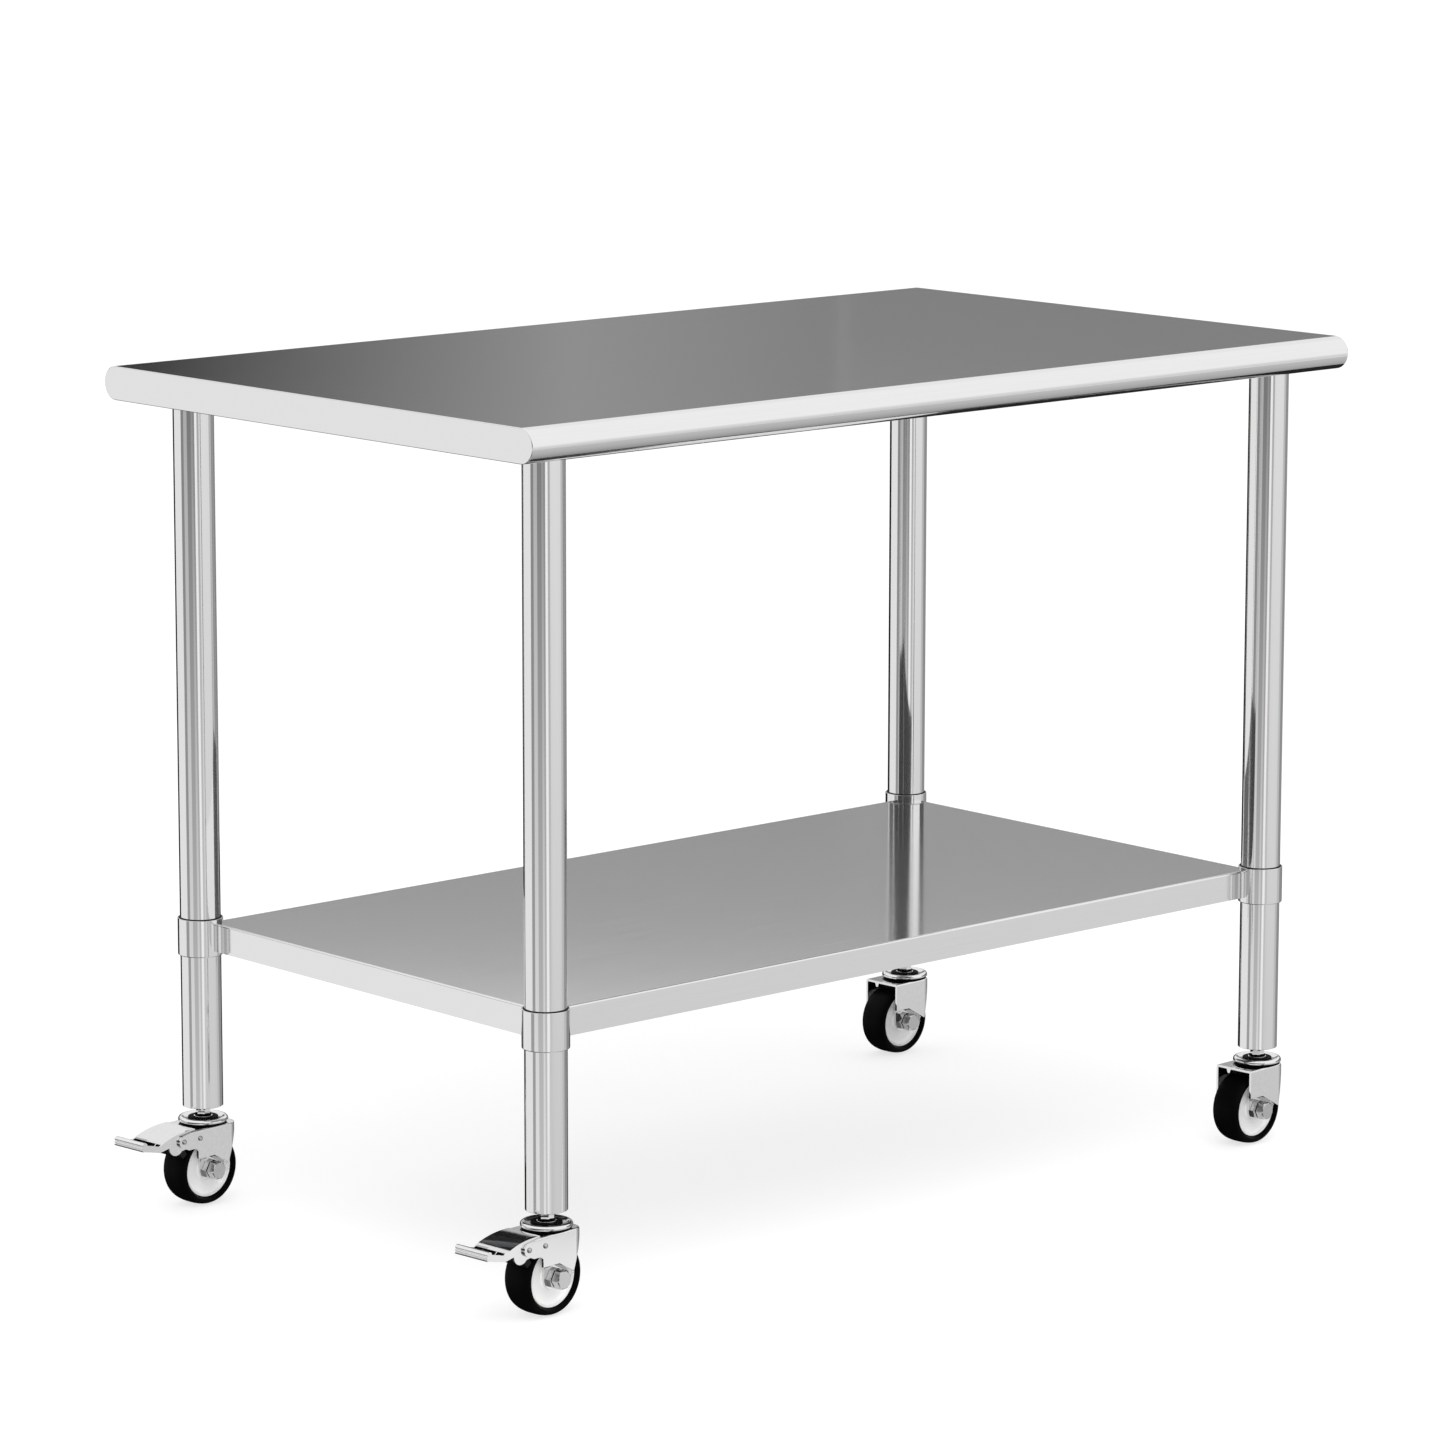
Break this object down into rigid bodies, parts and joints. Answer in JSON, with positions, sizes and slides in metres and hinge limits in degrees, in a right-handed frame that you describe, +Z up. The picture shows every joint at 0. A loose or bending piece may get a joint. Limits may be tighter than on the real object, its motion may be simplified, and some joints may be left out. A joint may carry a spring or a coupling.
{
  "type": "stainless work table",
  "caption": "Stainless work table with a rolled-edge top on round legs, an undershelf that slides and clamps on the legs, and swivel casters with foot brakes at one end.",
  "frame": {"origin": "on the floor, under the middle of the whole envelope with the brake pedals included", "axes": "+X along the table, away from the end with the brake pedals, +Y towards the back, +Z up"},
  "size_m": [1.2506, 0.72, 0.936],
  "materials": {
    "brushed_stainless": "satin brushed",
    "polished_stainless": "polished",
    "galvanised_steel": "galvanised",
    "zinc_plate": "bright zinc plate",
    "chrome_plate": "mirror plate",
    "white_nylon": "moulded",
    "black_rubber": "smooth",
    "black_plastic": "moulded"
  },
  "bodies": {
    "frame": {"table_top": "brushed_stainless", "top_channel_left": "galvanised_steel", "top_channel_middle": "galvanised_steel", "top_channel_right": "galvanised_steel", "leg_socket_fl": "galvanised_steel", "leg_socket_fr": "galvanised_steel", "leg_socket_bl": "galvanised_steel", "leg_socket_br": "galvanised_steel", "leg_fl": "polished_stainless", "leg_fr": "polished_stainless", "leg_bl": "polished_stainless", "leg_br": "polished_stainless", "leg_insert_fl": "zinc_plate", "leg_insert_fr": "zinc_plate", "leg_insert_bl": "zinc_plate", "leg_insert_br": "zinc_plate", "swivel_stem_fl": "chrome_plate", "swivel_stem_fr": "chrome_plate", "swivel_stem_bl": "chrome_plate", "swivel_stem_br": "chrome_plate"},
    "shelf": {"undershelf": "brushed_stainless", "shelf_channel": "galvanised_steel", "shelf_sleeve_fl": "polished_stainless", "shelf_sleeve_fr": "polished_stainless", "shelf_sleeve_bl": "polished_stainless", "shelf_sleeve_br": "polished_stainless"},
    "caster_fl": {"fork_fl": "zinc_plate", "ball_ring_fl": "chrome_plate", "axle_bolt_fl": "zinc_plate", "axle_bush_fl": "zinc_plate", "pedal_rivet_fl": "zinc_plate", "spacer_rivet_fl": "zinc_plate"},
    "wheel_fl": {"wheel_hub_fl": "white_nylon", "tyre_fl": "black_rubber"},
    "pedal_fl": {"brake_pedal_fl": "zinc_plate", "brake_shoe_fl": "black_plastic"},
    "caster_fr": {"fork_fr": "zinc_plate", "ball_ring_fr": "chrome_plate", "axle_bolt_fr": "zinc_plate", "axle_bush_fr": "zinc_plate"},
    "wheel_fr": {"wheel_hub_fr": "white_nylon", "tyre_fr": "black_rubber"},
    "caster_bl": {"fork_bl": "zinc_plate", "ball_ring_bl": "chrome_plate", "axle_bolt_bl": "zinc_plate", "axle_bush_bl": "zinc_plate", "pedal_rivet_bl": "zinc_plate", "spacer_rivet_bl": "zinc_plate"},
    "wheel_bl": {"wheel_hub_bl": "white_nylon", "tyre_bl": "black_rubber"},
    "pedal_bl": {"brake_pedal_bl": "zinc_plate", "brake_shoe_bl": "black_plastic"},
    "caster_br": {"fork_br": "zinc_plate", "ball_ring_br": "chrome_plate", "axle_bolt_br": "zinc_plate", "axle_bush_br": "zinc_plate"},
    "wheel_br": {"wheel_hub_br": "white_nylon", "tyre_br": "black_rubber"}
  },
  "joints": [
    {"name": "shelf_height", "type": "slide", "parent": "frame", "child": "shelf", "axis": [0, 0, 1], "range_m": [-0.15, 0.45]},
    {"name": "swivel_fl", "type": "hinge", "parent": "frame", "child": "caster_fl", "pos_m": [-0.51368, -0.2945, 0.09349], "axis": [0, 0, 1], "continuous": true},
    {"name": "roll_fl", "type": "hinge", "parent": "caster_fl", "child": "wheel_fl", "pos_m": [-0.51966, -0.29502, 0.04139], "axis": [-0.0872, 0.9962, 0], "continuous": true},
    {"name": "brake_fl", "type": "hinge", "parent": "caster_fl", "child": "pedal_fl", "pos_m": [-0.56449, -0.29895, 0.0812], "axis": [0.0872, -0.9962, 0], "range_deg": [0, 18]},
    {"name": "swivel_fr", "type": "hinge", "parent": "frame", "child": "caster_fr", "pos_m": [0.56532, -0.2945, 0.09349], "axis": [0, 0, 1], "continuous": true},
    {"name": "roll_fr", "type": "hinge", "parent": "caster_fr", "child": "wheel_fr", "pos_m": [0.54665, -0.29558, 0.04139], "axis": [-0.0576, 0.9983, 0], "continuous": true},
    {"name": "swivel_bl", "type": "hinge", "parent": "frame", "child": "caster_bl", "pos_m": [-0.51368, 0.2945, 0.09349], "axis": [0, 0, 1], "continuous": true},
    {"name": "roll_bl", "type": "hinge", "parent": "caster_bl", "child": "wheel_bl", "pos_m": [-0.51966, 0.29398, 0.04139], "axis": [-0.0872, 0.9962, 0], "continuous": true},
    {"name": "brake_bl", "type": "hinge", "parent": "caster_bl", "child": "pedal_bl", "pos_m": [-0.56449, 0.29006, 0.0812], "axis": [0.0872, -0.9962, 0], "range_deg": [0, 18]},
    {"name": "swivel_br", "type": "hinge", "parent": "frame", "child": "caster_br", "pos_m": [0.56532, 0.2945, 0.09349], "axis": [0, 0, 1], "continuous": true},
    {"name": "roll_br", "type": "hinge", "parent": "caster_br", "child": "wheel_br", "pos_m": [0.54665, 0.29342, 0.04139], "axis": [-0.0576, 0.9983, 0], "continuous": true}
  ]
}
